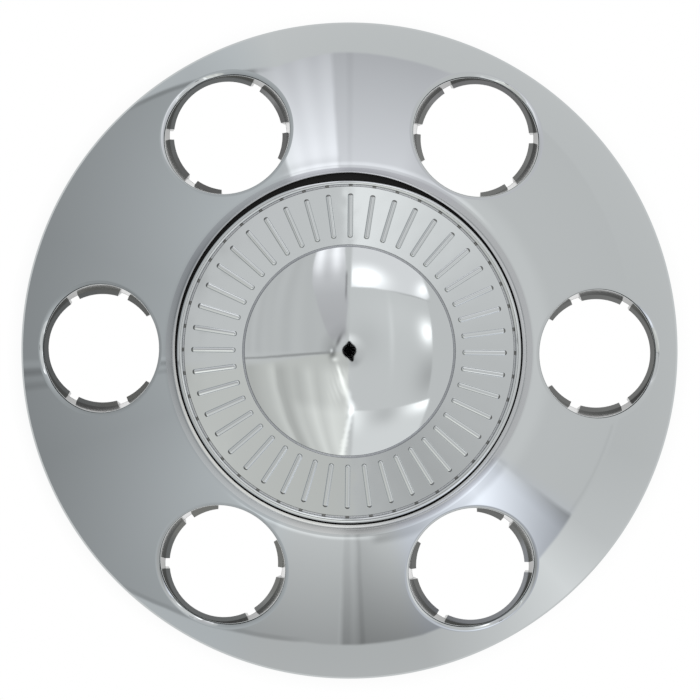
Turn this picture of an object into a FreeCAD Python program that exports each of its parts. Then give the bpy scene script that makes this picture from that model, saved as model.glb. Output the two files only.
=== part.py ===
# Wheel center cap: one chrome-plated moulding that covers a hub and slips over six lug nuts.
# Millimetres. Z is the wheel axis and points out of the wheel; z = 0 is the plane of the rear rim.
import FreeCAD, Part
import math
import os

from FreeCAD import Vector

# Moulding
wall = 2.5

# Lug sockets, on a circle that matches the wheel
lug_count = 6
lug_circle = 139.7
lip_radius = 15.5
lip_width = 1.4
lip_height = 2.0
lip_base = 1.5
socket_draft = 4.0
socket_wall = 2.0
socket_rim_chamfer = 0.6

# Flange: two tapers joined by one arc, so that it steepens towards the rim
rim_margin = 7.35
rim_land = 0.8
rim_chamfer = 0.3
flange_inner_slope = 20.0
flange_outer_slope = 43.0
flange_bend_radius = 41.0
flange_bend_inset = 17.85

# Collar that lifts the disc clear of the lug nuts
collar_gap = 5.75
collar_lean = 0.7
collar_base_fillet = 4.4
collar_top_chamfer = 0.4
disc_height = 42.3
shoulder_drop = 0.9
shoulder_width = 0.7

# Reveal groove between the collar's shoulder and the bead of the disc
reveal_width = 0.8
reveal_depth = 2.0

# Disc face, from the bead inwards
bead_width = 1.3
bead_height = 0.35
ring_groove_width = 0.8
ring_groove_depth = 0.3
dome_radius = 27.4
dome_rise = 6.8
dome_groove_width = 0.8
dome_groove_depth = 0.35

# Flutes: raised bars on the disc face, bevelled all round
flute_count = 44
flute_inner_radius = 29.7
flute_outer_radius = 41.3
flute_width = 1.5
flute_top_width = 0.6
flute_height = 0.5
first_flute_angle = 90.0

# Notches in each lip, by their angle from the outward direction
notch_angles = (59.0, 111.0, 149.0)
notch_width = 2.9
notch_land = 0.2

# How far cutting tools run past a face
overrun = 5.0

inner_slope = math.radians(flange_inner_slope)
outer_slope = math.radians(flange_outer_slope)
draft = math.radians(socket_draft)
socket_foot_radius = lip_radius + lip_width
rim_radius = lug_circle / 2 + socket_foot_radius + rim_margin
collar_base_radius = lug_circle / 2 - socket_foot_radius - collar_gap
collar_top_radius = collar_base_radius - collar_lean
reveal_outer_radius = collar_top_radius - shoulder_width
bead_outer_radius = reveal_outer_radius - reveal_width
flange_bend_center_radius = lug_circle / 2 - flange_bend_inset
outer_taper_start = flange_bend_center_radius + flange_bend_radius * math.sin(outer_slope)
bend_center_height = (
    rim_land
    + (rim_radius - outer_taper_start) * math.tan(outer_slope)
    - flange_bend_radius * math.cos(outer_slope)
)


def at(radius, height):
    return Vector(radius, 0, height)


def arc(start, middle, end):
    return Part.Arc(start, middle, end).toShape()


def line(start, end):
    return Part.makeLine(start, end)


def vee(start, end, depth):
    """Two lines from start to end, meeting depth below the middle of their chord."""
    bottom = (start + end) * 0.5 - Vector(0, 0, depth)
    return [line(start, bottom), line(bottom, end)]


def revolved(edges):
    """Solid of revolution of a closed half section in the XZ plane."""
    face = Part.Face(Part.Wire(edges))
    return face.revolve(Vector(0, 0, 0), Vector(0, 0, 1), 360)


def bend_point(slope, offset):
    """Point of the flange's arc, moved inwards by offset, where the surface falls at slope."""
    radius = flange_bend_radius - offset
    return at(
        flange_bend_center_radius + radius * math.sin(slope),
        bend_center_height + radius * math.cos(slope),
    )


def taper_point(start, slope, radius):
    """Point at a radius on the taper that runs through start."""
    return at(radius, start.z - (radius - start.x) * math.tan(slope))


def flange_section(inner_radius, outer_radius, offset):
    """Edges of the flange's section, moved inwards by offset: taper, arc, taper."""
    first = bend_point(inner_slope, offset)
    middle = bend_point((inner_slope + outer_slope) / 2, offset)
    last = bend_point(outer_slope, offset)
    start = taper_point(first, inner_slope, inner_radius)
    end = taper_point(last, outer_slope, outer_radius)
    return [line(start, first), arc(first, middle, last), line(last, end)]


def rounded(before, corner, after, radius):
    """Start, middle and end of the arc that rounds off a corner of the section."""
    to_before = (before - corner).normalize()
    to_after = (after - corner).normalize()
    half_angle = to_before.getAngle(to_after) / 2
    setback = radius / math.tan(half_angle)
    inward = (to_before + to_after).normalize()
    middle = corner + inward * (radius / math.sin(half_angle) - radius)
    return corner + to_before * setback, middle, corner + to_after * setback


def ring_edges(shape, point):
    """Full circles about Z through a point of the section."""
    found = []
    for edge in shape.Edges:
        if edge.Degenerated or not isinstance(edge.Curve, Part.Circle):
            continue
        center = edge.Curve.Center
        on_axis = math.hypot(center.x, center.y) < 1e-4
        same_size = abs(edge.Curve.Radius - point.x) < 1e-3
        if on_axis and same_size and abs(center.z - point.z) < 1e-3:
            found.append(edge)
    return found


dome_curve_radius = (dome_radius**2 + dome_rise**2) / (2 * dome_rise)
dome_center_height = disc_height + dome_rise - dome_curve_radius
shoulder_height = disc_height - shoulder_drop
inner_taper_end = bend_point(inner_slope, 0)
collar_base = taper_point(inner_taper_end, inner_slope, collar_base_radius)
collar_top = at(collar_top_radius, shoulder_height)


def dome_height(radius, offset):
    """Height of the dome, or of its inward offset, at a radius."""
    return dome_center_height + math.sqrt((dome_curve_radius - offset) ** 2 - radius**2)


def outer_form():
    """Everything under the front surface, filled down to the rear plane."""
    apex = at(0, disc_height + dome_rise)
    dome_middle = at(dome_radius / 2, dome_height(dome_radius / 2, 0))
    dome_edge = at(dome_radius, disc_height)
    field_inner = at(dome_radius + dome_groove_width, disc_height)
    bead_inner_radius = bead_outer_radius - bead_width
    field_outer = at(bead_inner_radius - ring_groove_width, disc_height)
    bead_inner = at(bead_inner_radius, disc_height)
    bead_top_inner = at(bead_inner_radius + bead_height, disc_height + bead_height)
    bead_top_outer = at(bead_outer_radius - bead_height, disc_height + bead_height)
    bead_outer = at(bead_outer_radius, disc_height)
    reveal_inner = at(bead_outer_radius, disc_height - reveal_depth)
    reveal_outer = at(reveal_outer_radius, disc_height - reveal_depth)
    shoulder_inner = at(reveal_outer_radius, shoulder_height)
    fillet = rounded(collar_top, collar_base, inner_taper_end, collar_base_fillet)
    rim_top = at(rim_radius, rim_land)
    rim_bottom = at(rim_radius, 0)
    base_center = at(0, 0)
    solid = revolved([
        arc(apex, dome_middle, dome_edge),
        *vee(dome_edge, field_inner, dome_groove_depth),
        line(field_inner, field_outer),
        *vee(field_outer, bead_inner, ring_groove_depth),
        line(bead_inner, bead_top_inner),
        line(bead_top_inner, bead_top_outer),
        line(bead_top_outer, bead_outer),
        line(bead_outer, reveal_inner),
        line(reveal_inner, reveal_outer),
        line(reveal_outer, shoulder_inner),
        line(shoulder_inner, collar_top),
        line(collar_top, fillet[0]),
        arc(*fillet),
        *flange_section(fillet[2].x, rim_radius, 0),
        line(rim_top, rim_bottom),
        line(rim_bottom, base_center),
        line(base_center, apex),
    ])
    solid = solid.makeChamfer(collar_top_chamfer, ring_edges(solid, collar_top))
    return solid.makeChamfer(rim_chamfer, ring_edges(solid, rim_top))


def hollow_form():
    """The space behind the moulding, one wall inside its front surface."""
    lean = math.atan2(collar_base.x - collar_top.x, collar_top.z - collar_base.z)
    wall_shift = wall / math.cos(lean)
    ceiling = disc_height - wall
    inner_curve_radius = dome_curve_radius - wall
    dome_edge_radius = math.sqrt(inner_curve_radius**2 - (ceiling - dome_center_height) ** 2)
    apex = at(0, dome_center_height + inner_curve_radius)
    dome_middle = at(dome_edge_radius / 2, dome_height(dome_edge_radius / 2, wall))
    dome_edge = at(dome_edge_radius, ceiling)
    ceiling_edge = at(collar_top.x + (collar_top.z - ceiling) * math.tan(lean) - wall_shift, ceiling)
    inner_start = bend_point(inner_slope, wall)
    foot_radius = collar_base.x - wall_shift
    collar_foot = taper_point(inner_start, inner_slope, foot_radius)
    outer_start = bend_point(outer_slope, wall)
    rim_inner_radius = outer_start.x + outer_start.z / math.tan(outer_slope)
    rim_inner = at(rim_inner_radius, 0)
    base_center = at(0, 0)
    return revolved([
        arc(apex, dome_middle, dome_edge),
        line(dome_edge, ceiling_edge),
        line(ceiling_edge, collar_foot),
        *flange_section(foot_radius, rim_inner_radius, wall),
        line(rim_inner, base_center),
        line(base_center, apex),
    ])


lip_top = lip_base + lip_height
socket_head = disc_height + overrun
socket_head_radius = socket_foot_radius + (socket_head - lip_top) * math.tan(draft)


def at_lugs(shape):
    """Copies of a shape modelled about Z, one on each lug axis, its +X side facing outwards."""
    copies = []
    for number in range(lug_count):
        copy = shape.copy()
        copy.translate(at(lug_circle / 2, 0))
        copy.rotate(Vector(0, 0, 0), Vector(0, 0, 1), 360.0 * number / lug_count)
        copies.append(copy)
    return copies


def socket_sleeve():
    """Drafted plug round one lug nut, which leaves the socket's tube standing in the hollow."""
    foot_radius = socket_foot_radius - lip_height * math.tan(draft) + socket_wall
    head_radius = socket_head_radius + socket_wall
    return Part.makeCone(foot_radius, head_radius, socket_head - lip_base, at(0, lip_base))


def socket_hole():
    """The drafted opening above the lip."""
    return Part.makeCone(socket_foot_radius, socket_head_radius, socket_head - lip_top, at(0, lip_top))


def lip_hole():
    """The bore of the lip, with a notch beside each of its fingers."""
    bore = Part.makeCylinder(lip_radius, lip_top + overrun, at(0, -overrun))
    corner = Vector(0, -notch_width / 2, lip_base - overrun)
    tool = Part.makeBox(socket_foot_radius - notch_land, notch_width, lip_height + overrun, corner)
    notches = []
    for angle in notch_angles:
        for side in (angle, -angle):
            notch = tool.copy()
            notch.rotate(Vector(0, 0, 0), Vector(0, 0, 1), side)
            notches.append(notch)
    return bore.fuse(notches)


def socket_rims(shape):
    """Edges where the sockets break through the front of the flange."""
    found = []
    for edge in shape.Edges:
        sockets = 0
        fronts = 0
        for face in shape.ancestorsOfType(edge, Part.Face):
            surface = face.Surface
            if isinstance(surface, Part.Cone):
                if math.hypot(surface.Center.x, surface.Center.y) > lip_radius:
                    sockets += 1
                    continue
            box = face.BoundBox
            if box.XLength > lug_circle and box.ZMax > bend_point(outer_slope, 0).z:
                fronts += 1
        middle = edge.valueAt((edge.FirstParameter + edge.LastParameter) / 2)
        radius = math.hypot(middle.x, middle.y)
        if sockets == 1 and fronts == 1 and middle.z > section_height(radius, wall / 2):
            found.append(edge)
    return found


def section_height(radius, offset):
    """Height of the flange, moved inwards by offset, at a radius."""
    first = bend_point(inner_slope, offset)
    last = bend_point(outer_slope, offset)
    if radius <= first.x:
        return taper_point(first, inner_slope, radius).z
    if radius >= last.x:
        return taper_point(last, outer_slope, radius).z
    reach = (flange_bend_radius - offset) ** 2 - (radius - flange_bend_center_radius) ** 2
    return bend_center_height + math.sqrt(reach)


def flute():
    """One bar along X with bevelled sides and ends, standing on the disc face."""
    bevel = (flute_width - flute_top_width) / 2
    bar = Part.makeWedge(
        flute_inner_radius, 0, -flute_width / 2,
        -flute_top_width / 2, flute_inner_radius + bevel,
        flute_outer_radius, flute_height, flute_width / 2,
        flute_top_width / 2, flute_outer_radius - bevel,
    )
    bar.rotate(Vector(0, 0, 0), Vector(1, 0, 0), 90)
    bar.translate(at(0, disc_height))
    return bar


def flutes():
    bar = flute()
    bars = []
    for number in range(flute_count):
        copy = bar.copy()
        copy.rotate(Vector(0, 0, 0), Vector(0, 0, 1), first_flute_angle + 360.0 * number / flute_count)
        bars.append(copy)
    return bars


hollow = hollow_form().cut(at_lugs(socket_sleeve()))
cap = outer_form().cut(hollow)
cap = cap.cut(at_lugs(socket_hole()))
cap = cap.cut(at_lugs(lip_hole()))
cap = cap.makeChamfer(socket_rim_chamfer, socket_rims(cap))
cap = cap.fuse(flutes())

os.makedirs("parts", exist_ok=True)
cap.exportStep("parts/center_cap.step")
print("center_cap", len(cap.Solids), "solid", cap.isValid(), round(cap.Volume), "mm3")
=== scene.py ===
import bpy
import math
import numpy as np
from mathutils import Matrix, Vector


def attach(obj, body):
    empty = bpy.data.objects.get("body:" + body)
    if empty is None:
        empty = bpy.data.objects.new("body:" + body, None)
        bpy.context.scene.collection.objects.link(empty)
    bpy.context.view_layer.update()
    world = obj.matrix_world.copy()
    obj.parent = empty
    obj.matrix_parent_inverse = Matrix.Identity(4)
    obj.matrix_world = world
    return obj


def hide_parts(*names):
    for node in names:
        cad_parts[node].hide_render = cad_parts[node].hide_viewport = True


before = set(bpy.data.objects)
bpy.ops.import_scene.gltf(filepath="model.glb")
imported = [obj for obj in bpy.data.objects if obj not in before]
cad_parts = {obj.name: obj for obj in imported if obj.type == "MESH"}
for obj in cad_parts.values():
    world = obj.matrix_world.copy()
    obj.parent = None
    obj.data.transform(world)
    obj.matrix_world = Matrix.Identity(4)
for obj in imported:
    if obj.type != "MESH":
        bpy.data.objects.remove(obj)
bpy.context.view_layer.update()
mm = 0.001  # sizes are in millimetres, angles in degrees
brightCoat, shadeAndBackCoat, shadeBlackCoat, grooveCoat = range(4)  # places in each piece's list of materials
print("frame loaded")

cap = dict(wall=2.5, lugs=6, lugCircle=139.7)
flange = dict(arc=90.0, centerR=25.4, rimR=94.1, land=0.8, rimRound=0.25)

# flange section, one arc about (centerR, arcZ): z = arcZ + sqrt(arc^2 - (r - centerR)^2)
arcZ = flange["land"] - math.sqrt(flange["arc"] ** 2 - (flange["rimR"] - flange["centerR"]) ** 2)


def flangeZ(r, inset=0.0):
    return arcZ + np.sqrt((flange["arc"] - inset) ** 2 - (r - flange["centerR"]) ** 2)


def flangeNormal(x, y, inset=0.0):
    # points away from the arc's centre
    r = np.hypot(x, y)
    lean = (r - flange["centerR"]) / (flange["arc"] - inset)  # sine of the slope
    return np.stack([lean * x / r, lean * y / r, np.sqrt(1 - lean ** 2)], -1)


def unit(v):
    # a vector over its own length
    return v / np.linalg.norm(v, axis=-1, keepdims=True)


def dot(a, b):
    return (a * b).sum(-1, keepdims=True)


def follow(x, stops):
    # straight lines between (place, value) stops
    return np.interp(x, *zip(*stops))


def addSheet(store, points, normals=None, flip=False, coat=brightCoat):
    # a grid of points (rows, columns, 3); without normals each quad is flat
    rows, cols = points.shape[:2]
    index = np.arange(rows * cols).reshape(rows, cols)
    quads = np.stack([index[:-1, :-1], index[:-1, 1:], index[1:, 1:], index[1:, :-1]], -1).reshape(-1, 4)
    flat = points.reshape(-1, 3)
    if flip:
        quads = quads[:, ::-1]
    if normals is None:
        p = flat[quads]
        n = np.cross(p[:, 2] - p[:, 0], p[:, 3] - p[:, 1])
        noArea = 1e-12
        n /= np.maximum(np.linalg.norm(n, axis=1, keepdims=True), noArea)
        corner = np.repeat(n[:, None], 4, axis=1)
    else:
        corner = normals.reshape(-1, 3)[quads]
    store.append((flat, quads, corner, np.broadcast_to(coat, (rows - 1, cols - 1)).ravel()))


def lineRows(p0, p1, count):
    # straight part of a section: rows of (r, z, nr, nz), normal to the left of p0 -> p1
    s = np.linspace(0, 1, count + 1)[:, None]
    p0, p1 = np.array(p0, float), np.array(p1, float)
    d = (p1 - p0) / np.linalg.norm(p1 - p0)
    return np.hstack([p0 + (p1 - p0) * s, np.tile([-d[1], d[0]], (count + 1, 1))])


def arcRows(center, radius, a0, a1, count, side=1):
    # circular part of a section between two angles; side -1 for a hollow arc
    a = np.radians(np.linspace(a0, a1, count + 1))
    c, s = np.cos(a), np.sin(a)
    return np.stack([center[0] + radius * c, center[1] + radius * s, side * c, side * s], -1)


otherSide = np.array([1, 1, -1, -1])  # times the rows of a section, it turns their normals over


def tangentCorner(p0, corner, p1, radius):
    # centre and end angles of the arc that rounds a corner of a section
    u, v = np.array(p0) - corner, np.array(p1) - corner
    u, v = u / np.linalg.norm(u), v / np.linalg.norm(v)
    half = math.acos(u @ v) / 2
    middle = (u + v) / np.linalg.norm(u + v)
    center = corner + middle * radius / math.sin(half)
    ends = [corner + w * radius / math.tan(half) - center for w in (u, v)]
    angles = [math.degrees(math.atan2(e[1], e[0])) for e in ends]
    if angles[1] - angles[0] > 180:
        angles[1] -= 360
    if angles[0] - angles[1] > 180:
        angles[1] += 360
    return center, angles[0], angles[1]


def turned(store, rows, angles, flip=False, coat=brightCoat):
    # surface of revolution: x = r cos t, y = r sin t
    c, s = np.cos(angles)[None], np.sin(angles)[None]
    r, z, nr, nz = (rows[:, k, None] for k in range(4))
    points = np.stack([r * c, r * s, z + 0 * c], -1)
    addSheet(store, points, np.stack([nr * c, nr * s, nz + 0 * c], -1), flip, coat)


def buildMesh(name, store, glow=None):
    # stacks the sheets, welds equal points to one micron and keeps each sheet's own normals
    microns = 1000
    points = np.concatenate([s[0] for s in store])
    offset = np.cumsum([0] + [len(s[0]) for s in store])[:-1]
    quads = np.concatenate([s[1] + o for s, o in zip(store, offset)])
    corner = np.concatenate([s[2] for s in store])
    coat = np.concatenate([s[3] for s in store])
    key, index = np.unique(np.round(points * microns).astype(np.int64), axis=0, return_inverse=True)
    index = index.reshape(-1)
    welded = np.zeros((len(key), 3))
    welded[index] = points
    quads = index[quads]
    keep = quads != np.roll(quads, 1, axis=1)  # a corner that repeats the one before it goes
    sound = keep.sum(1) > 2
    quads, corner, keep, coat = quads[sound], corner[sound], keep[sound], coat[sound]
    sizes = keep.sum(1)
    mesh = bpy.data.meshes.new(name)
    mesh.vertices.add(len(welded))
    mesh.vertices.foreach_set("co", (welded * mm).ravel())
    mesh.loops.add(int(sizes.sum()))
    mesh.loops.foreach_set("vertex_index", quads[keep].astype(np.int32))
    mesh.polygons.add(len(sizes))
    mesh.polygons.foreach_set("loop_start", np.concatenate([[0], np.cumsum(sizes)[:-1]]).astype(np.int32))
    mesh.polygons.foreach_set("material_index", coat.astype(np.int32))
    mesh.update(calc_edges=True)
    mesh.normals_split_custom_set(corner[keep])
    if glow is not None:
        value = np.ones((len(key), 4))
        value[index, :3] = glow.reshape(-1, 3)
        mesh.attributes.new("glow", "FLOAT_COLOR", "POINT").data.foreach_set("color", value.ravel())
    piece = bpy.data.objects.new(name, mesh)
    bpy.context.scene.collection.objects.link(piece)
    return piece


# collar, reveal, disc and dome: one section turned about the wheel axis; stops go by the clock
# paintedLight on the collar is painted light and shade by the clock
collar = dict(baseR=47.2, topR=46.5, fillet=4.4, round=0.5, discZ=42.3, drop=0.9, brightFoot=1.0,
              paintedLight=((0, 0.17), (20, 0.42), (150, 0.42), (185, 1), (245, 1), (280, 0.42),
                       (300, 0.17), (330, 0.42), (345, 0.17), (360, 0.17)))  # brightest at the lower left
reveal = dict(width=0.75, depth=2.0, slack=0.23,
              opening=((0, 1.9), (12, 1.6), (30, 1.0), (60, 0.65), (90, 0.6), (120, 0.5), (150, 0.7),
                       (180, 0.6), (210, 0.6), (240, 0.55), (270, 0.7), (300, 1.05), (330, 1.45),
                       (348, 1.75), (360, 1.9)),
              tuck=((0, 0.42), (10, 0.36), (28, 0), (335, 0), (350, 0.36), (360, 0.42)))
face = dict(beadR=45.0, beadW=1.3, beadH=0.35, grooveW=0.6, grooveD=0.22, paintedLight=0.25)
dome = dict(r=27.3, rise=6.8, grooveW=0.65, grooveD=0.2, paintedLight=0.0)
flute = dict(count=44, columns=12, inner=29.7, outer=41.3, width=1.5, height=0.45, first=90.0,
             margin=0.3, endZone=2.0, rows=8, darkOut=0.25, darkIn=0.6)
steps = dict(fillet=12, wall=3, round=6, shoulder=1, reveal=2, groove=8, dome=28, inside=12)

around = flute["count"] * flute["columns"]
ring = np.linspace(0, 2 * np.pi, around + 1)
ringClock = (90 - np.degrees(ring)) % 360
discZ = collar["discZ"]
shoulderZ = discZ - collar["drop"]
floorZ = discZ - reveal["depth"]
revealR = face["beadR"] + reveal["width"]
beadIn = face["beadR"] - face["beadW"]
fieldOut = beadIn - face["grooveW"]
fieldIn = dome["r"] + dome["grooveW"]
base = np.array([collar["baseR"], float(flangeZ(collar["baseR"]))])
top = np.array([collar["topR"], shoulderZ])
baseSlope = (collar["baseR"] - flange["centerR"]) / flange["arc"]
downhill = base + np.array([math.sqrt(1 - baseSlope ** 2), -baseSlope])
filletC, fillet0, fillet1 = tangentCorner(downhill, base, top, collar["fillet"])
filletRows = arcRows(filletC, collar["fillet"], fillet0, fillet1, steps["fillet"], -1)
filletRows[0, 1] = flangeZ(filletRows[0, 0])
flangeInR = float(filletRows[0, 0])
filletRows[0, 2:] = flangeNormal(flangeInR, 0.0)[[0, 2]]  # no crease at its foot
roundC, round0, round1 = tangentCorner(base, top, (revealR, shoulderZ), collar["round"])
roundRows = arcRows(roundC, collar["round"], round0, round1, steps["round"])
domeBall = (dome["r"] ** 2 + dome["rise"] ** 2) / (2 * dome["rise"])
domeC = (0, discZ + dome["rise"] - domeBall)
domeReach = math.degrees(math.asin(dome["r"] / domeBall))


def shallowArc(r0, r1, rise):
    # arc from r0 to r1 on the disc's level, standing rise above it or sunk below it
    half, h = (r0 - r1) / 2, abs(rise)
    radius = (half ** 2 + h ** 2) / (2 * h)
    reach = math.degrees(math.asin(half / radius))
    mid = (r0 + r1) / 2
    if rise > 0:
        return arcRows((mid, discZ + h - radius), radius, 90 - reach, 90 + reach, steps["groove"])
    return arcRows((mid, discZ - h + radius), radius, -90 + reach, -90 - reach, steps["groove"], -1)


collarCoat = np.where(filletRows[1:, 0] < flangeInR - collar["brightFoot"], grooveCoat, brightCoat)[:, None]
beside = np.isin(np.arange(around) % flute["columns"], (0, flute["columns"] - 1))
ringCoat = np.where(beside, shadeAndBackCoat, grooveCoat)  # a painted dark mark in the groove beside each flute, a painted reflection of it
edgeTop, edgeLow = (revealR, shoulderZ), (revealR, floorZ)
beadTop, beadLow = (face["beadR"], discZ), (face["beadR"], floorZ)
section = (
    (filletRows, collarCoat),
    (lineRows(filletRows[-1, :2], roundRows[0, :2], steps["wall"]) * otherSide, grooveCoat),
    (roundRows, grooveCoat),
    (lineRows(roundRows[-1, :2], edgeTop, steps["shoulder"]) * otherSide, grooveCoat),
    (lineRows(edgeTop, edgeLow, steps["reveal"]) * otherSide, shadeBlackCoat),
    (lineRows(edgeLow, beadLow, steps["shoulder"]) * otherSide, shadeBlackCoat),
    (lineRows(beadLow, beadTop, steps["reveal"]) * otherSide, shadeBlackCoat),
    (shallowArc(face["beadR"], beadIn, face["beadH"]), brightCoat),
    (shallowArc(beadIn, fieldOut, -face["grooveD"]), ringCoat),
    (shallowArc(fieldIn, dome["r"], -dome["grooveD"]), grooveCoat),
    (arcRows(domeC, domeBall, 90 - domeReach, 90, steps["dome"]), brightCoat),
)
wallPart, roundPart, shoulderPart, edgePart, floorPart, innerPart, beadPart = range(1, 8)  # places in it
discSheets = []
for rows, coat in section:
    turned(discSheets, rows, ring, coat=coat)


def discGrid(part):
    return discSheets[part][0].reshape(-1, around + 1, 3)


# the reveal is widest at twelve o'clock, where the disc sits low in the collar
# the collar's top gives way there, and the bead draws in
onEdge = 1e-6
gape = follow(ringClock, reveal["opening"]) - reveal["width"]
give = np.clip(gape - reveal["slack"], 0, None)
for part, share in ((wallPart, np.linspace(0, 1, steps["wall"] + 1)), (roundPart, np.ones(len(roundRows))),
                    (shoulderPart, np.array([1, 0]))):
    grid = discGrid(part)
    grid[..., :2] *= (1 + share[:, None] * give / collar["topR"])[..., None]
for part in (shoulderPart, edgePart, floorPart):
    grid = discGrid(part)
    edgeRow = np.abs(np.hypot(grid[..., 0], grid[..., 1]) - revealR) < onEdge
    grid[..., :2] += (edgeRow * gape / revealR)[..., None] * grid[..., :2]
tuck = follow(ringClock, reveal["tuck"])
for part in (floorPart, innerPart, beadPart):
    grid = discGrid(part)
    out = np.hypot(grid[..., 0], grid[..., 1])
    drawn = np.where(out > face["beadR"] + onEdge, 0, np.clip((out - beadIn) / face["beadW"], 0, 1))
    grid[..., :2] *= (1 - drawn * tuck / out)[..., None]

# flutes: columns run parallel over each bar, height h (1 - q^4), q the distance from the bar's spine
halfW = flute["width"] / 2
endSteps = np.array([0, 0.16, 0.4, 2 / 3, 1]) * halfW  # rows round a bar's end, closer at its tip
straight = np.linspace(flute["outer"] - flute["endZone"], flute["inner"] + flute["endZone"], flute["rows"])
fieldR = np.concatenate([[fieldOut, flute["outer"] + flute["margin"]], flute["outer"] - endSteps, straight,
                         flute["inner"] + endSteps[::-1], [flute["inner"] - flute["margin"], fieldIn]])
fieldR = fieldR[:, None]
column = np.arange(around + 1)
halfCell = flute["columns"] // 2
cell = (column + halfCell) // flute["columns"]  # which bar a column belongs to
step = column - cell * flute["columns"]
pitch = 2 * np.pi / flute["count"]
barEdge, cellEdge = 3.2, 6.0  # half a bar and half a cell, in the units of the next line
spread = np.array([-6, -4.6, -3.2, -2.75, -2.2, -1.3, 0, 1.3, 2.2, 2.75, 3.2, 4.6])[step + halfCell]
overBar = np.arcsin(np.clip(spread / barEdge * halfW / fieldR, -1, 1))
barSide = np.arcsin(halfW / fieldR)
between = np.clip((np.abs(spread) - barEdge) / (cellEdge - barEdge), 0, 1)
offBar = np.sign(step) * (barSide + (pitch / 2 - barSide) * between)
swing = np.where(np.abs(spread) <= barEdge, overBar, offBar)  # angle from the bar's spine
even = step / flute["columns"] * pitch
fieldEnd = (fieldR == fieldOut) | (fieldR == fieldIn)
x, y = fieldR * np.cos(swing), fieldR * np.sin(swing)
past = np.clip(x - (flute["outer"] - halfW), 0, None) - np.clip(flute["inner"] + halfW - x, 0, None)
margins = (fieldR > flute["outer"]) | (fieldR < flute["inner"])
q2 = np.where(margins, np.inf, (y ** 2 + past ** 2) / halfW ** 2)
barRim = 0.999  # from here on a bar's outline keeps the flat normal
high = np.where(q2 < 1, flute["height"] * (1 - q2 ** 2), 0)
gain = np.where(q2 < barRim, 4 * flute["height"] * q2 / halfW ** 2, 0)
nx, ny = gain * past, gain * y
scale = 1 / np.sqrt(1 + nx ** 2 + ny ** 2)
spine = np.radians(flute["first"]) + cell * pitch
spin = np.radians(flute["first"]) + (cell * pitch + np.where(fieldEnd, even, swing))
fieldPoints = np.stack([fieldR * np.cos(spin), fieldR * np.sin(spin), discZ + high], -1)
fieldNormals = np.stack([(nx * np.cos(spine) - ny * np.sin(spine)) * scale,
                         (nx * np.sin(spine) + ny * np.cos(spine)) * scale, scale], -1)
# painted dark dots at the bars' ends, painted reflections in darker chrome
darkEnds = (q2 <= 1) & np.where(past > 0, q2 > flute["darkOut"], (past < 0) & (q2 > flute["darkIn"]))
endCoat = np.where(darkEnds[:-1, :-1] & darkEnds[1:, 1:] | darkEnds[1:, :-1] & darkEnds[:-1, 1:], shadeAndBackCoat, brightCoat)
addSheet(discSheets, fieldPoints, fieldNormals, coat=endCoat)

# inside of the collar and disc, one wall below
collarLean = math.atan2(base[0] - top[0], top[1] - base[1])
footR = collar["baseR"] - cap["wall"] / math.cos(collarLean)
footZ = float(flangeZ(footR, cap["wall"]))
ceilZ = discZ - cap["wall"]
ceilR = footR - (ceilZ - footZ) * math.tan(collarLean)
innerBall = domeBall - cap["wall"]
innerReach = math.degrees(math.acos((ceilZ - domeC[1]) / innerBall))
innerEdge = innerBall * math.sin(math.radians(innerReach))
for rows in (lineRows((footR, footZ), (ceilR, ceilZ), steps["wall"]),
             lineRows((ceilR, ceilZ), (innerEdge, ceilZ), steps["reveal"]),
             arcRows(domeC, innerBall, 90 - innerReach, 90, steps["inside"], -1)):
    turned(discSheets, rows, ring, True, shadeAndBackCoat)
disc = buildMesh("chromeDisc", discSheets)

# painted light and shade, read by the groove material: by the clock on the collar, brightest at the lower
# left, and darker in the disc's grooves
corners = np.empty(len(disc.data.vertices) * 3)
disc.data.vertices.foreach_get("co", corners)
cornerX, cornerY = corners.reshape(-1, 3)[:, :2].T
cornerR = np.hypot(cornerX, cornerY)
paintedLight = follow((90 - np.degrees(np.arctan2(cornerY, cornerX))) % 360, collar["paintedLight"])
paintedLight[cornerR < face["beadR"] * mm] = face["paintedLight"]
paintedLight[cornerR < flute["inner"] * mm] = dome["paintedLight"]
disc.data.attributes.new("paintedLight", "FLOAT", "POINT").data.foreach_set("value", paintedLight)
print("disc", len(disc.data.polygons), "faces")

# flange: six equal sectors, each a net stretched from its socket's mouth to the sector's edge
socket = dict(lipR=15.35, lipW=1.25, lipH=5.0, base=1.5, draft=4.8, wall=2.0, round=1.2, uneven=0.2,
              flat=0.35, notches=(59, 111, 149), notchW=2.9, land=0.03, relief=0.9)
net = dict(flange=16, inside=8, mouth=5, wall=5, sleeve=3, rim=4,  # rows of each stretch
           corners=(0, 44, 104, 256, 316, 360))  # columns at the corners of a sector
columns = net["corners"][-1] + 1
halfSector = 180 / cap["lugs"]
lugR = cap["lugCircle"] / 2
draft = math.tan(math.radians(socket["draft"]))
mouthR = socket["lipR"] + socket["lipW"]
lipTop = socket["base"] + socket["lipH"]
openR = mouthR - socket["land"]
phi = np.arange(-180.0, 181.0)
dip = np.degrees(np.arcsin(socket["notchW"] / 2 / np.array([socket["lipR"], openR])))
bore = np.full(columns, socket["lipR"])
for notch in [side * n for n in socket["notches"] for side in (-1, 1)]:
    for side in (-1, 1):
        k = 180 + int(round(notch + side * dip[0]))
        phi[k], phi[k - side] = notch + side * dip[0], notch + side * dip[1]  # the notch's two corners
        bore[k - side] = openR
    bore[np.abs(phi - notch) < dip[1] - onEdge] = openR
bore[np.abs(phi) > max(socket["notches"])] = openR  # no lip towards the hub
phi = np.radians(phi)
cosP, sinP = np.cos(phi), np.sin(phi)


def meeting(foot, level, inset):
    # where a drafted wall round the lug axis meets the flange: r = foot + (z - level) tan(draft)
    rounds = 40
    z = np.full(columns, float(flangeZ(lugR, inset)))
    for _ in range(rounds):
        r = foot + (z - level) * draft
        z = flangeZ(np.hypot(lugR + r * cosP, r * sinP), inset)
    return np.stack([lugR + r * cosP, r * sinP, z], -1)


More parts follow.
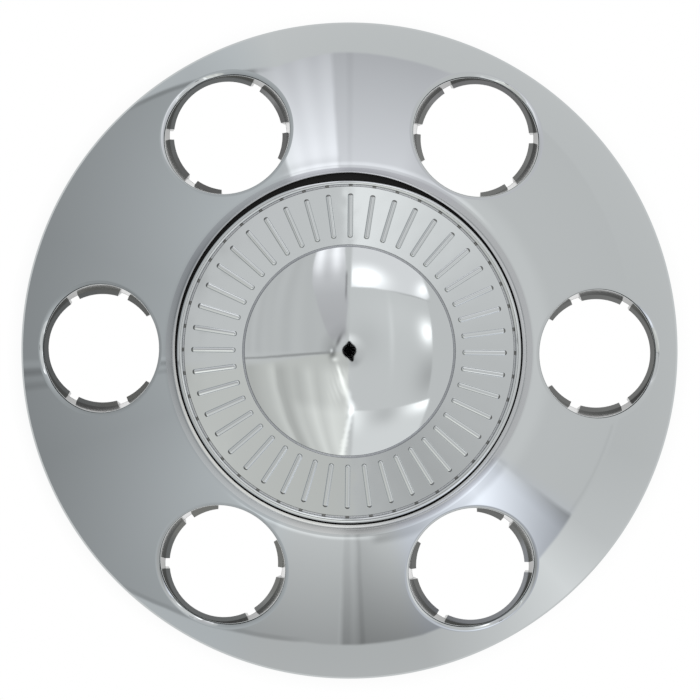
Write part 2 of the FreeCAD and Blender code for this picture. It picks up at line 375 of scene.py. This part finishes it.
def sectorEdge(inR, outR):
    # the sector's outline in step with phi: inner arc, side, outer arc, side, inner arc
    index = np.arange(columns)
    t = np.interp(index, net["corners"], [0, -halfSector, -halfSector, halfSector, halfSector, 0])
    r = np.interp(index, net["corners"], [inR, inR, outR, outR, inR, inR])
    return np.stack([r * np.cos(np.radians(t)), r * np.sin(np.radians(t))], -1)


def stretch(start, edge, count, inset):
    # straight in plan from start to edge, lifted onto the flange
    s = np.linspace(0, 1, count + 1)[:, None, None]
    plan = start[None, :, :2] * (1 - s) + edge[None] * s
    z = flangeZ(np.hypot(plan[..., 0], plan[..., 1]), inset)
    return np.concatenate([plan, z[..., None]], -1), flangeNormal(plan[..., 0], plan[..., 1], inset)


def circle(r, z):
    # round the lug axis at one level
    return np.stack([lugR + r * cosP, r * sinP, np.full(columns, float(z))], -1)


def inward(angle):
    # normal of the drafted wall at an angle round the lug axis
    return unit(np.stack([-np.cos(angle), -np.sin(angle), np.full_like(angle, draft)], -1))


# softened mouth: a conic tangent to flange and wall, set back p / tan(half the corner), with
# C(t) = A / B, A = (1-t)^2 top + 2t(1-t) w sharp + t^2 low, B = (1-t)^2 + 2t(1-t) w + t^2
sharp = meeting(mouthR, lipTop, 0)
flangeN = flangeNormal(sharp[:, 0], sharp[:, 1])
wallN = inward(phi)
along = unit(np.cross(flangeN, wallN))
outward = np.cross(flangeN, along)
outward *= np.sign(dot(outward, np.stack([cosP, sinP, 0 * cosP], -1)))
down = np.cross(wallN, along)
down *= -np.sign(down[:, 2:])
half = np.arccos(np.clip(dot(outward, down), -1, 1)) / 2
setback = (socket["round"] - socket["uneven"] * cosP)[:, None] / np.tan(half)  # larger towards the hub
mouthTop = sharp + outward * setback
mouthTop[:, 2] = flangeZ(np.hypot(mouthTop[:, 0], mouthTop[:, 1]))
mouthLow = sharp + down * setback
lowPhi = np.unwrap(np.arctan2(mouthLow[:, 1], mouthLow[:, 0] - lugR))
lowR = mouthR + (mouthLow[:, 2] - lipTop) * draft
mouthLow[:, 0], mouthLow[:, 1] = lugR + lowR * np.cos(lowPhi), lowR * np.sin(lowPhi)
t = np.linspace(0, 1, net["mouth"] + 1)[:, None, None]
weight = socket["flat"] * np.sin(half)  # a flat of 1 gives a circle, less comes near a bevel
upperA = (1 - t) ** 2 * mouthTop + 2 * t * (1 - t) * weight * sharp + t ** 2 * mouthLow
lowerB = (1 - t) ** 2 + 2 * t * (1 - t) * weight + t ** 2
mouth = upperA / lowerB
slideA = -2 * (1 - t) * mouthTop + 2 * (1 - 2 * t) * weight * sharp + 2 * t * mouthLow
slideB = -2 * (1 - t) + 2 * (1 - 2 * t) * weight + 2 * t
mouthN = unit(np.cross(along, slideA * lowerB - upperA * slideB))
mouthN *= np.sign(dot(mouthN[0], flangeN))
mouthN[0], mouthN[-1] = flangeN, inward(lowPhi)

# drafted wall, and the sleeve that stands in the hollow behind
s = np.linspace(0, 1, net["wall"] + 1)[:, None]
wallZ = mouthLow[None, :, 2] * (1 - s) + lipTop * s
wallPhi = lowPhi[None] * (1 - s) + phi[None] * s
wallR = mouthR + (wallZ - lipTop) * draft
wallPoints = np.stack([lugR + wallR * np.cos(wallPhi), wallR * np.sin(wallPhi), wallZ], -1)
sleeveR = mouthR - socket["lipH"] * draft + socket["wall"]
sleeveTop = meeting(sleeveR, socket["base"], cap["wall"])
s = np.linspace(0, 1, net["sleeve"] + 1)[:, None, None]
sleeve = circle(sleeveR, socket["base"]) * (1 - s) + sleeveTop * s
sleeveN = np.broadcast_to(-inward(phi), sleeve.shape)

# lip with its notches, whose edge leans back below, clear of the nut
relief = bore + socket["relief"]
lipRows = np.stack([circle(mouthR, lipTop), circle(bore, lipTop)])
edgeRows = np.stack([circle(bore, lipTop), circle(relief, socket["base"])])
lowRows = np.stack([circle(relief, socket["base"]), circle(sleeveR, socket["base"])])
up = np.array([0, 0, 1.0])

# rim: flange, small round, land, rear edge
rimTop = np.array([flange["rimR"], flange["land"]])
rimLean = (flange["rimR"] - flange["centerR"]) / flange["arc"]
uphill = rimTop + np.array([-math.sqrt(1 - rimLean ** 2), rimLean])
rimC, rim0, rim1 = tangentCorner(uphill, rimTop, (flange["rimR"], 0), flange["rimRound"])
rimRows = arcRows(rimC, flange["rimRound"], rim0, rim1, net["rim"])
rimRows[0, 1] = flangeZ(rimRows[0, 0])
rearR = flange["centerR"] + math.sqrt((flange["arc"] - cap["wall"]) ** 2 - arcZ ** 2)
rimColumns = net["corners"][3] - net["corners"][2] + 1
rimAngles = np.radians(np.linspace(-halfSector, halfSector, rimColumns))

sector = []
points, normals = stretch(mouthTop, sectorEdge(flangeInR, rimRows[0, 0]), net["flange"], 0)
addSheet(sector, points[::-1], normals[::-1])
addSheet(sector, mouth, mouthN)
# inside the socket the darker chrome is painted shade; the flange's back below takes it as its duller
# plating
addSheet(sector, wallPoints, inward(wallPhi), coat=shadeAndBackCoat)
addSheet(sector, lipRows, np.broadcast_to(up, lipRows.shape), coat=shadeAndBackCoat)
addSheet(sector, edgeRows, coat=shadeAndBackCoat)
addSheet(sector, lowRows, np.broadcast_to(-up, lowRows.shape), coat=shadeAndBackCoat)
addSheet(sector, sleeve, sleeveN, coat=shadeAndBackCoat)
points, normals = stretch(sleeveTop, sectorEdge(footR, rearR), net["inside"], cap["wall"])
addSheet(sector, points, -normals, coat=shadeAndBackCoat)
turned(sector, rimRows, rimAngles, True)
turned(sector, lineRows(rimRows[-1, :2], (flange["rimR"], 0), 1), rimAngles, True)
turned(sector, lineRows((flange["rimR"], 0), (rearR, 0), 1), rimAngles, True)
flangeSheets = []
for n in range(cap["lugs"]):
    a = 2 * math.pi * n / cap["lugs"]
    spin = np.array([[math.cos(a), math.sin(a), 0], [-math.sin(a), math.cos(a), 0], [0, 0, 1]])
    flangeSheets += [(p @ spin, q, c @ spin, m) for p, q, c, m in sector]
skirt = buildMesh("chromeFlange", flangeSheets)
print("flange", len(skirt.data.polygons), "faces")

for piece in (skirt, disc):
    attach(piece, "root")
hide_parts("center_cap")


def linear(c):
    # display value 0 to 1 to linear light, the sRGB curve without its short straight foot
    return ((c + 0.055) / 1.055) ** 2.4


def srgb(code):
    # hex colour to linear light
    c = np.array([int(code[i:i + 2], 16) / 255 for i in (1, 3, 5)])
    return (*np.where(c <= 0.04045, c / 12.92, linear(c)), 1.0)


def node(tree, kind, settings=None, **links):
    # adds a node, sets its properties and sockets, links the rest; a link i0 goes to socket 0
    n = tree.nodes.new(kind)
    for key, value in (settings or {}).items():
        if isinstance(key, str) and hasattr(n, key):
            setattr(n, key, value)
        else:
            n.inputs[key].default_value = value
    for key, source in links.items():
        slot = n.inputs[int(key[1:])] if key[1:].isdigit() else n.inputs[key.replace("_", " ")]
        tree.links.new(source, slot)
    return n


def newMaterial(name):
    made = bpy.data.materials.new(name)
    made.use_nodes = True
    tree = made.node_tree
    tree.nodes.clear()
    return made, tree


# bright chrome electroplated on moulded ABS: a grey mirror, barely softened, with a moulding's faint ripple
bright = dict(colour="#bdc1c2", roughness=0.045, rippleWide=7.0, rippleHigh=0.02)
chrome, tree = newMaterial("chromePlatedAbs")
place = node(tree, "ShaderNodeTexCoord")
ripple = node(tree, "ShaderNodeTexNoise", {"Scale": 1 / (bright["rippleWide"] * mm), "Detail": 1.0},
              Vector=place.outputs["Object"])
peel = node(tree, "ShaderNodeBump", {"Strength": 1.0, "Distance": bright["rippleHigh"] * mm},
            Height=ripple.outputs[0])
shell = node(tree, "ShaderNodeBsdfPrincipled", {"Base Color": srgb(bright["colour"]), "Metallic": 1.0,
                                                "Roughness": bright["roughness"]}, Normal=peel.outputs[0])
node(tree, "ShaderNodeOutputMaterial", Surface=shell.outputs[0])

# darker, duller chrome: painted shade in the sockets, painted reflections as dark dots at the flutes' ends
# and beside them, and the duller plating on the back, which the bath reaches less
thin = dict(colour="#707170", roughness=0.12)
shadeAndBackChrome, tree = newMaterial("chromePaintedShadeAndDullBack")
shell = node(tree, "ShaderNodeBsdfPrincipled", {"Base Color": srgb(thin["colour"]), "Metallic": 1.0,
                                                "Roughness": thin["roughness"]})
node(tree, "ShaderNodeOutputMaterial", Surface=shell.outputs[0])

# painted shade: black at the bottom of the reveal, a dark line round the disc
revealShade = dict(colour="#0b0b0c", roughness=0.6, shine=0.25)
revealShadeBlack, tree = newMaterial("paintedShadeBlack")
shell = node(tree, "ShaderNodeBsdfPrincipled", {"Base Color": srgb(revealShade["colour"]),
                                                "Roughness": revealShade["roughness"],
                                                "Specular IOR Level": revealShade["shine"]})
node(tree, "ShaderNodeOutputMaterial", Surface=shell.outputs[0])

# satin chrome on the collar and in the disc's grooves, with painted light and shade: grey in shade, paler
# where painted light falls
satin = dict(shadedColour="#9a9da1", litColour="#d0d2d2", roughness=0.2)
grooveChrome, tree = newMaterial("grooveChromeOnAbs")
paintedLightRead = node(tree, "ShaderNodeAttribute", {"attribute_name": "paintedLight"})
shade = node(tree, "ShaderNodeMix", {"data_type": "RGBA", 6: srgb(satin["shadedColour"]),
                                     7: srgb(satin["litColour"])}, i0=paintedLightRead.outputs["Fac"])
shell = node(tree, "ShaderNodeBsdfPrincipled", {"Metallic": 1.0, "Roughness": satin["roughness"]},
             Base_Color=shade.outputs[2])
node(tree, "ShaderNodeOutputMaterial", Surface=shell.outputs[0])

for piece in (skirt, disc):
    for coat in (chrome, shadeAndBackChrome, revealShadeBlack, grooveChrome):
        piece.data.materials.append(coat)
print("materials made")

# camera straight above the cap; framed is the width of the rear plane that fills the picture
shot = dict(x=1.0, y=1.5, z=475.0, aimX=0.17, aimY=0.22, roll=0.6, sensor=36.0, framed=201.0694,
            nearest=10.0, farthest=20000.0)
camera = bpy.data.objects.new("camera", bpy.data.cameras.new("camera"))
bpy.context.scene.collection.objects.link(camera)
camera.location = Vector((shot["x"], shot["y"], shot["z"])) * mm
aim = Vector((shot["aimX"] * mm, shot["aimY"] * mm, 0)) - camera.location
camera.rotation_euler = (math.atan2(aim.y, -aim.z), -math.atan2(aim.x, -aim.z), math.radians(shot["roll"]))
camera.data.sensor_width = shot["sensor"]
camera.data.lens = shot["sensor"] * shot["z"] / shot["framed"]
camera.data.clip_start = shot["nearest"] * mm
camera.data.clip_end = shot["farthest"] * mm
bpy.context.scene.camera = camera
bpy.context.scene.view_settings.view_transform = "Standard"


def ramp(x, a, b):
    # smooth step from 0 at a to 1 at b
    t = np.clip((x - a) / (b - a), 0, 1)
    return t * t * (3 - 2 * t)


def band(x, a, b, soft):
    # 1 between a and b, with soft ends
    return ramp(x, a - soft, a + soft) * (1 - ramp(x, b - soft, b + soft))


def line(x, thin, wide):
    # 1 within thin of 0, and 0 beyond wide
    return 1 - ramp(np.abs(x), thin, wide)


def spots(u, v, lights):
    # soft spots (gain, u0, v0, wide, high, turn): gain e^-((p / wide)^2 + (q / high)^2), p and q turned
    total = 0
    for gain, u0, v0, wide, high, turn in lights:
        c, s = math.cos(math.radians(turn)), math.sin(math.radians(turn))
        p, q = (u - u0) * c + (v - v0) * s, (v - v0) * c - (u - u0) * s
        total = total + gain * np.exp(-(p / wide) ** 2 - (q / high) ** 2)
    return total


def lay(under, over, mask):
    # over on top of under, as far as the mask covers
    return under * (1 - mask) + over * mask


def lit(tone):
    # glow that the chrome shows as this grey, 0 to 255
    return linear(np.asarray(tone, float) / 255) / srgb(bright["colour"])[1]


# photo tent: a half sphere of white cloth that glows by its folds and cards
# u and v are its plan as the cap sees it, v to twelve o'clock; clock goes round from there; tones are greys
tent = dict(radius=3000.0, columns=720, rows=220, tip=0.001, closeTop=0.9,
            plain=188, calm=184, calmFrom=(1.68, 1.9))
azimuth = np.linspace(0, 2 * np.pi, tent["columns"] + 1)[None]
polar = np.radians(90 * np.linspace(tent["tip"], 1, tent["rows"]) ** tent["closeTop"])[:, None]
tentX, tentY = np.sin(polar) * np.sin(azimuth), np.sin(polar) * np.cos(azimuth)
tentZ = np.cos(polar) + 0 * azimuth
aboveFloor = np.maximum(tentZ, 0.02)  # keeps the plan finite at the hem
u, v = tentX / aboveFloor, tentY / aboveFloor
clock = np.degrees(azimuth) + 0 * polar
tone = np.full_like(u, tent["plain"])

# cloth at the upper left with faint upright folds
veil = dict(tone=182, wave=1.5, close=23, wide=14, phase=1, lean=0.1, clock=(268, 345, 3))
waves = np.cos(veil["close"] * (u + veil["lean"] * v)) + np.cos(veil["wide"] * u + veil["phase"])
tone = lay(tone, veil["tone"] + veil["wave"] * waves, band(clock, *veil["clock"]))

# hanging folds at the lower left, tones by place across them, paler low down
drape = dict(lean=0.05, clock=(181, 262, 3), hem=(-0.08, -0.26),
             pale=13, paleV=(-0.5, -0.72), paleU=(-0.75, -0.55),
             tones=((-1.5, 174), (-1.1, 187), (-0.95, 200), (-0.9, 192), (-0.86, 175), (-0.78, 172),
                    (-0.65, 186), (-0.56, 180), (-0.5, 188), (-0.42, 203), (-0.33, 188), (-0.22, 205),
                    (-0.1, 198), (0.02, 210)), tint=(1.0, 0.995, 0.955), tinted=0.9)
folds = follow(u + drape["lean"] * v, drape["tones"])
folds += drape["pale"] * ramp(v, *drape["paleV"]) * ramp(u, *drape["paleU"])
hanging = band(clock, *drape["clock"])
tone = lay(tone, folds, hanging * ramp(v, *drape["hem"]))

# lit cloth beyond the card, above it and below it
upper = dict(tone=212, clock=(1, 56, 1), fromV=(0.69, 0.71), toU=(1.12, 1.18),
             lights=((100, 0.18, 0.88, 0.23, 0.19, 0), (62, 1.05, 0.88, 0.22, 0.1, 45)))
above = band(clock, *upper["clock"]) * ramp(v, *upper["fromV"]) * (1 - ramp(u, *upper["toU"]))
tone = lay(tone, upper["tone"] + spots(u, v, upper["lights"]), above)
lower = dict(tone=210, acrossU=(0.05, 1.12, 0.03), toV=(-0.66, -0.63),
             lights=((65, 1.0, -0.7, 0.28, 0.14, -8), (22, 0.08, -0.75, 0.1, 0.25, 0),
                     (-26, 0.42, -0.7, 0.2, 0.2, 0)))
below = band(u, *lower["acrossU"]) * (1 - ramp(v, *lower["toV"]))
tone = lay(tone, lower["tone"] + spots(u, v, lower["lights"]), below)

# grey card on the right with a lamp at its edge, and the shade along its top
card = dict(tone=193, acrossU=(0.0, 1.05, 0.012), acrossV=(-0.64, 0.7, 0.012),
            lights=((5, 0.5, 0.4, 0.35, 0.25, 0), (10, 0.43, 0.2, 0.03, 0.35, 0),
                    (-26, 1.02, -0.3, 0.25, 0.25, 0), (-8, 0.16, 0.1, 0.16, 0.2, 0),
                    (95, 0.96, 0.24, 0.145, 0.15, 0)),
            shade=170, shadeU=(0.55, 1.05, 0.2), shadeV=(0.69, 0.71, 0.012))
onCard = band(u, *card["acrossU"]) * band(v, *card["acrossV"])
tone = lay(tone, card["tone"] + spots(u, v, card["lights"]), onCard)
tone = lay(tone, card["shade"], band(u, *card["shadeU"]) * band(v, *card["shadeV"]))

# light strip between two folds at twelve o'clock, striped and brighter towards the wall, with a dark seam
strip = dict(left=((0.05, -0.12), (0.15, -0.2), (0.5, -0.35), (0.8, -0.45), (1.1, -0.5), (1.5, -0.54)),
             right=((0, -0.05), (0.5, -0.015), (1.5, -0.08)),
             softLeft=0.012, softRight=0.01, start=(0.05, 0.15),
             tones=((0.1, 174), (0.3, 172), (0.6, 179), (0.9, 195), (1.1, 218), (1.4, 236)),
             stripe=16, stripeFrom=(0.7, 1.2), stripeAt=0.2, stripePitch=0.52, slimmest=0.02,
             seam=140, seamU=(-0.05, -0.03, 0.006), seamV=(0.55, 0.95, 0.08), tint=(1.005, 0.99, 1.015))
left, right = follow(v, strip["left"]), follow(v, strip["right"])
onStrip = ramp(u, left - strip["softLeft"], left + strip["softLeft"]) * ramp(v, *strip["start"])
onStrip = onStrip * (1 - ramp(u, right - strip["softRight"], right + strip["softRight"]))
across = (u - left) / np.maximum(right - left, strip["slimmest"])
stripes = np.cos(2 * np.pi * (across - strip["stripeAt"]) / strip["stripePitch"])
stripes = stripes * ramp(v, *strip["stripeFrom"])
tone = lay(tone, follow(v, strip["tones"]) + strip["stripe"] * stripes, onStrip)
tone = lay(tone, strip["seam"], band(u, *strip["seamU"]) * band(v, *strip["seamV"]))

# fold at nine o'clock
crease = dict(tone=148, slope=0.083, width=(0.006, 0.02), acrossU=(-9, -0.16, 0.05))
creased = line(v - crease["slope"] * u, *crease["width"])
tone = lay(tone, crease["tone"], creased * band(u, *crease["acrossU"]))

# ragged streak of light at six, with a knot and a comb of thin rays near its head
streak = dict(tone=250, acrossV=(-1.75, -0.14, 0.06), soft=1.8, rag=0.2, ragWaves=(31, 17), phase=1,
              bend=((-1.7, -0.1), (-1.2, -0.05), (-0.7, 0.02), (-0.6, 0.03), (-0.3, -0.06), (-0.1, -0.12)),
              slim=((-1.7, 0.05), (-0.7, 0.03), (-0.6, 0.045), (-0.1, 0.02)),
              knot=((45, 0.03, -0.64, 0.05, 0.07, 0),), rays=((22, -0.1, -0.34, 0.07, 0.18, -12),),
              comb=0.4, combWaves=130)
aside = u - follow(v, streak["bend"])
ragged = np.cos(streak["ragWaves"][0] * v) * np.cos(streak["ragWaves"][1] * v + streak["phase"])
edge = streak["soft"] * follow(v, streak["slim"]) * (1 - streak["rag"] + streak["rag"] * ragged)
tone = lay(tone, streak["tone"], line(aside, 0, edge) * band(v, *streak["acrossV"]))
combed = 1 - streak["comb"] + streak["comb"] * np.cos(aside * streak["combWaves"])
tone = tone + spots(u, v, streak["knot"]) + spots(u, v, streak["rays"]) * combed

# cloth round the lens, which the flat disc mirrors: brightest after twelve o'clock, dullest before six
middle = dict(reach=(0.11, 0.19), dim=156, dimmed=0.6, dimReach=(0.18, 0.32), dimClock=(262, 352, 8),
              tones=((0, 230), (30, 210), (60, 194), (90, 185), (120, 180), (150, 165), (168, 172),
                     (180, 182), (270, 191), (358, 192), (359, 226), (360, 230)),
              darkTone=105, dark=((0.8, -0.16, -0.03, 0.03, 0.06, 0), (0.8, -0.1, 0.1, 0.016, 0.07, -25)),
              paleTone=228, pale=((1, -0.135, -0.08, 0.03, 0.02, 0), (1, -0.17, 0.0, 0.012, 0.02, 0)))
away = np.hypot(u, v)
dimming = (1 - ramp(away, *middle["dimReach"])) * band(clock, *middle["dimClock"])
tone = lay(tone, middle["dim"], middle["dimmed"] * dimming)
tone = lay(tone, follow(clock, middle["tones"]), 1 - ramp(away, *middle["reach"]))
tone = lay(tone, middle["darkTone"], np.minimum(spots(u, v, middle["dark"]), middle["dark"][0][0]))
tone = lay(tone, middle["paleTone"], spots(u, v, middle["pale"]))
tone = lay(tone, tent["calm"], ramp(away, *tent["calmFrom"]))  # near the floor, where only the collar looks

# tint of the cloth: cream in the hanging folds, faintly violet in the light strip
tint = np.ones((*tone.shape, 3))
tint = lay(tint, np.array(drape["tint"]), (hanging * drape["tinted"])[..., None])
tint = lay(tint, np.array(strip["tint"]), (onStrip + above / 2)[..., None])
tentSheets = []
addSheet(tentSheets, np.stack([tentX, tentY, tentZ], -1) * tent["radius"])
cloth = buildMesh("photoTent", tentSheets, lit(tone)[..., None] * tint)
cloth.visible_camera = False
tentCloth, tree = newMaterial("litWhiteCloth")  # glows by its folds, which the chrome mirrors
glowing = node(tree, "ShaderNodeAttribute", {"attribute_name": "glow"})
light = node(tree, "ShaderNodeEmission", {"Strength": 1.0}, Color=glowing.outputs["Color"])
node(tree, "ShaderNodeOutputMaterial", Surface=light.outputs[0])
cloth.data.materials.append(tentCloth)
tentCloth.cycles.emission_sampling = "NONE"  # seen by the rays that reach it, no lamp of its own
print("tent hung")

# low screen round the cap: the row for each flange radius lies where the flange at that radius mirrors it
# its top leans in, below what the dome mirrors, and its lowest rows lie on the floor
screen = dict(fromR=49.6, toR=93.6, rows=127, columns=720, lift=0.1, tone=186, fall=0.1, zero=52,
              topLight=7, topReach=(52, 57), stands=((49.6, 83), (52, 90), (60, 105)))
seenR = np.linspace(screen["fromR"], screen["toR"], screen["rows"])
seenZ = flangeZ(seenR)
bounce = 2 * np.arcsin((seenR - flange["centerR"]) / flange["arc"]) + np.arctan(seenR / (shot["z"] - seenZ))
stands = follow(seenR, screen["stands"])
screenZ = seenZ + (stands - seenR) / np.tan(bounce)
onFloor = screenZ < screen["lift"]
screenR = np.where(onFloor, seenR - seenZ * np.tan(bounce), stands)
screenZ = np.where(onFloor, screen["lift"], screenZ)
clock = np.linspace(0, 360, screen["columns"] + 1)[None]
r = seenR[:, None]
tone = screen["tone"] - screen["fall"] * (r - screen["zero"]) + 0 * clock
tone = tone + screen["topLight"] * (1 - ramp(r, *screen["topReach"]))

# cloths that hang on it; each falls off with the radius from zero on
leftCloth = dict(clock=(200, 341, 3), fall=0.62, zero=52, tint=(0.99, 1.02, 1.045), tintClock=(200, 341, 6),
                 tones=((205, 178), (228, 170), (250, 156), (290, 160), (312, 170), (336, 178)))
tone = lay(tone, follow(clock, leftCloth["tones"]) - leftCloth["fall"] * (r - leftCloth["zero"]),
           band(clock, *leftCloth["clock"]))
topCloth = dict(tone=208, fall=1.1, zero=52, until=(14, 24), since=(350, 352),
                tint=(1.0, 0.99, 1.03), tintClock=(341, 395, 6))
tone = lay(tone, topCloth["tone"] - topCloth["fall"] * (r - topCloth["zero"]),
           1 - ramp(clock, *topCloth["until"]) + ramp(clock, *topCloth["since"]))
topStrip = dict(tone=236, fall=1.7, zero=55, clock=(341, 356, 0.5), wave=3, waves=70)
waves = topStrip["wave"] * np.cos(np.radians(clock * topStrip["waves"]))
tone = lay(tone, topStrip["tone"] - topStrip["fall"] * np.clip(r - topStrip["zero"], 0, None) + waves,
           band(clock, *topStrip["clock"]))
footCloth = dict(tone=187, fall=1.1, zero=53, clock=(181, 202, 1))
tone = lay(tone, footCloth["tone"] - footCloth["fall"] * (r - footCloth["zero"]),
           band(clock, *footCloth["clock"]))
wedge = dict(clock=(126, 181, 0.5), zero=53, tint=(0.98, 1.0, 1.08), tintClock=(126, 165, 4),
             tones=((126, 205), (127, 212), (130, 228), (138, 250), (160, 200), (178, 172)),
             falls=((126, 3.0), (130, 2.6), (138, 2.7), (160, 2.0), (178, 1.65)))
tone = lay(tone, follow(clock, wedge["tones"]) - follow(clock, wedge["falls"]) * (r - wedge["zero"]),
           band(clock, *wedge["clock"]))

# seams between the cloths (clock, change), a pale strip at six and a fine line on the right
seam = dict(width=(0.2, 0.9), at=((176.8, -9), (178.5, 8), (263, -12), (265.5, -20), (267, 10), (359.5, -6)),
            pale=5, paleClock=(177.2, 180.8, 0.3), fine=5, fineClock=(105, 126, 0.5), fineR=(75.2, 76, 0.3))
for where, change in seam["at"]:
    tone = tone + change * line(clock - where, *seam["width"])
tone = tone + seam["pale"] * band(clock, *seam["paleClock"])
tone = tone - seam["fine"] * band(clock, *seam["fineClock"]) * band(r, *seam["fineR"])

# white paper beyond the cloths, from a shore line on, with a shadow along it on the left
shore = dict(soft=0.5, at=((0, 83.6), (12, 82.8), (45, 82), (105, 77), (126, 76.5), (150, 80), (165, 82),
                           (188, 82.5), (200, 85), (215, 90), (226, 96), (314, 96), (326, 90), (336, 85),
                           (345, 82), (356, 83.6), (360, 83.6)),
             tones=((0, 188), (40, 187), (110, 181), (126, 189), (137, 211), (150, 193), (165, 174),
                    (200, 172), (330, 172), (345, 190), (360, 188)),
             shadow=22, shadowIn=0.8, shadowWidth=(0.2, 1.2),
             shadowClock=((0.5, 190, 222, 4), (1, 318, 342, 4)))
shoreR = follow(clock, shore["at"])
onPaper = ramp(r, shoreR - shore["soft"], shoreR + shore["soft"])
tone = lay(tone, follow(clock, shore["tones"]), onPaper)
shadowed = sum(share * band(clock, *where) for share, *where in shore["shadowClock"])
tone = tone - shore["shadow"] * line(r - shoreR + shore["shadowIn"], *shore["shadowWidth"]) * shadowed

# what the foot of the collar mirrors: gains and their clock, light in the first rows, dark below them
foot = dict(lightR=(50.6, 51.4), topLight=18, offTop=(45, 340, 8), lowLight=30, lowClock=(172, 215, 8),
            darkR=(51.5, 53.5), darks=((10, 341, 356.5, 0.8), (25, 126, 172, 2)))
footLight = foot["topLight"] * (1 - band(clock, *foot["offTop"]))
footLight = footLight + foot["lowLight"] * band(clock, *foot["lowClock"])
footDark = sum(gain * band(clock, *where) for gain, *where in foot["darks"])
tone = tone + (1 - ramp(r, *foot["lightR"])) * footLight - (1 - ramp(r, *foot["darkR"])) * footDark

# tint of the screen: cool on the left, bluish in the wedge, faintly violet at twelve o'clock
screenTint = np.ones((*tone.shape, 3))
pastTop = np.where(clock < 180, clock + 360, clock)
for mask, hue in ((band(clock, *leftCloth["tintClock"]) + 0 * r, leftCloth["tint"]),
                  (band(clock, *wedge["tintClock"]) * (1 - onPaper), wedge["tint"]),
                  (band(pastTop, *topCloth["tintClock"]) * (1 - onPaper), topCloth["tint"])):
    screenTint = lay(screenTint, np.array(hue), mask[..., None])
sine, cosine = np.sin(np.radians(clock)), np.cos(np.radians(clock))
screenX, screenY = screenR[:, None] * sine, screenR[:, None] * cosine
screenSheets = []
addSheet(screenSheets, np.stack([screenX, screenY, screenZ[:, None] + 0 * sine], -1))
ringScreen = buildMesh("lowScreen", screenSheets, lit(tone)[..., None] * screenTint)
ringScreen.visible_camera = False
ringScreen.data.materials.append(tentCloth)
print("screen set")

# black lens that looks down through the tent, with two tabs (angle in radians, width, share) on its edge
lens = dict(radius=31.0, hood=12.0, sides=128, tabs=((1.6, 0.3, 1), (5.0, 0.28, 1.5)), colour="#030303")
t = np.linspace(0, 2 * np.pi, lens["sides"] + 1)
lensSheets = []
turned(lensSheets, lineRows((lens["radius"], 0.0), (0.0, 0.0), 1), t, True)
tabs = sum(share * np.exp(-((t - angle) / width) ** 2) for angle, width, share in lens["tabs"])
outline = lensSheets[0][0].reshape(2, -1, 3)
outline[..., :2] *= (1 + lens["hood"] / lens["radius"] * tabs)[None, :, None]
outline += [shot["x"], shot["y"], shot["z"]]
eye = buildMesh("lensFront", lensSheets)
eye.visible_camera = False
blackGlass, tree = newMaterial("blackLensGlass")  # the dark dot in the dome
shell = node(tree, "ShaderNodeBsdfPrincipled", {"Base Color": srgb(lens["colour"]), "Roughness": 0.8,
                                                "Specular IOR Level": 0.0})
node(tree, "ShaderNodeOutputMaterial", Surface=shell.outputs[0])
eye.data.materials.append(blackGlass)

# white paper floor: white to the camera and to the chrome, shaded close to the rim for the shadow
paper = dict(level=-0.05, sides=96, shadeFrom=92.0, shadeAt=94.0, shadeTo=98.5, shade=0.09, grey=0.9)
floorSheets = []
turned(floorSheets, lineRows((tent["radius"], paper["level"]), (0.0, paper["level"]), 1) * otherSide,
       np.linspace(0, 2 * np.pi, paper["sides"] + 1))
paperFloor = buildMesh("paperFloor", floorSheets)
whitePaper, tree = newMaterial("whitePaper")
path = node(tree, "ShaderNodeLightPath")
seen = node(tree, "ShaderNodeMath", {"operation": "MAXIMUM"},
            i0=path.outputs["Is Camera Ray"], i1=path.outputs["Is Glossy Ray"])
seen = node(tree, "ShaderNodeMath", {"operation": "MAXIMUM"},
            i0=seen.outputs[0], i1=path.outputs["Is Transmission Ray"])
place = node(tree, "ShaderNodeTexCoord")
fromAxis = node(tree, "ShaderNodeVectorMath", {"operation": "LENGTH"}, i0=place.outputs["Object"])
startR, darkR, endR = (paper[key] * mm for key in ("shadeFrom", "shadeAt", "shadeTo"))
edgeIn = node(tree, "ShaderNodeMapRange", {"From Min": startR, "From Max": darkR, "To Min": 0.0,
                                           "To Max": paper["shade"]}, Value=fromAxis.outputs["Value"])
edgeOut = node(tree, "ShaderNodeMapRange", {"From Min": darkR, "From Max": endR, "To Min": 1.0,
                                            "To Max": 0.0}, Value=fromAxis.outputs["Value"])
shade = node(tree, "ShaderNodeMath", {"operation": "MULTIPLY"}, i0=edgeIn.outputs[0], i1=edgeOut.outputs[0])
clear = node(tree, "ShaderNodeMath", {"operation": "SUBTRACT", 0: 1.0}, i1=shade.outputs[0])
seen = node(tree, "ShaderNodeMath", {"operation": "MULTIPLY"}, i0=seen.outputs[0], i1=clear.outputs[0])
matte = node(tree, "ShaderNodeBsdfDiffuse", {"Color": (paper["grey"], paper["grey"], paper["grey"], 1)})
white = node(tree, "ShaderNodeEmission", {"Color": (1, 1, 1, 1), "Strength": 1.0})
mix = node(tree, "ShaderNodeMixShader", None, i0=seen.outputs[0], i1=matte.outputs[0], i2=white.outputs[0])
node(tree, "ShaderNodeOutputMaterial", Surface=mix.outputs[0])
paperFloor.data.materials.append(whitePaper)
whitePaper.cycles.emission_sampling = "NONE"

# world behind the tent: plain white
world = bpy.data.worlds.new("whiteStudio")
bpy.context.scene.world = world
world.use_nodes = True
world.node_tree.nodes.clear()
back = node(world.node_tree, "ShaderNodeBackground", {"Color": (1, 1, 1, 1), "Strength": 1.0})
node(world.node_tree, "ShaderNodeOutputWorld", Surface=back.outputs[0])
print("stage set")
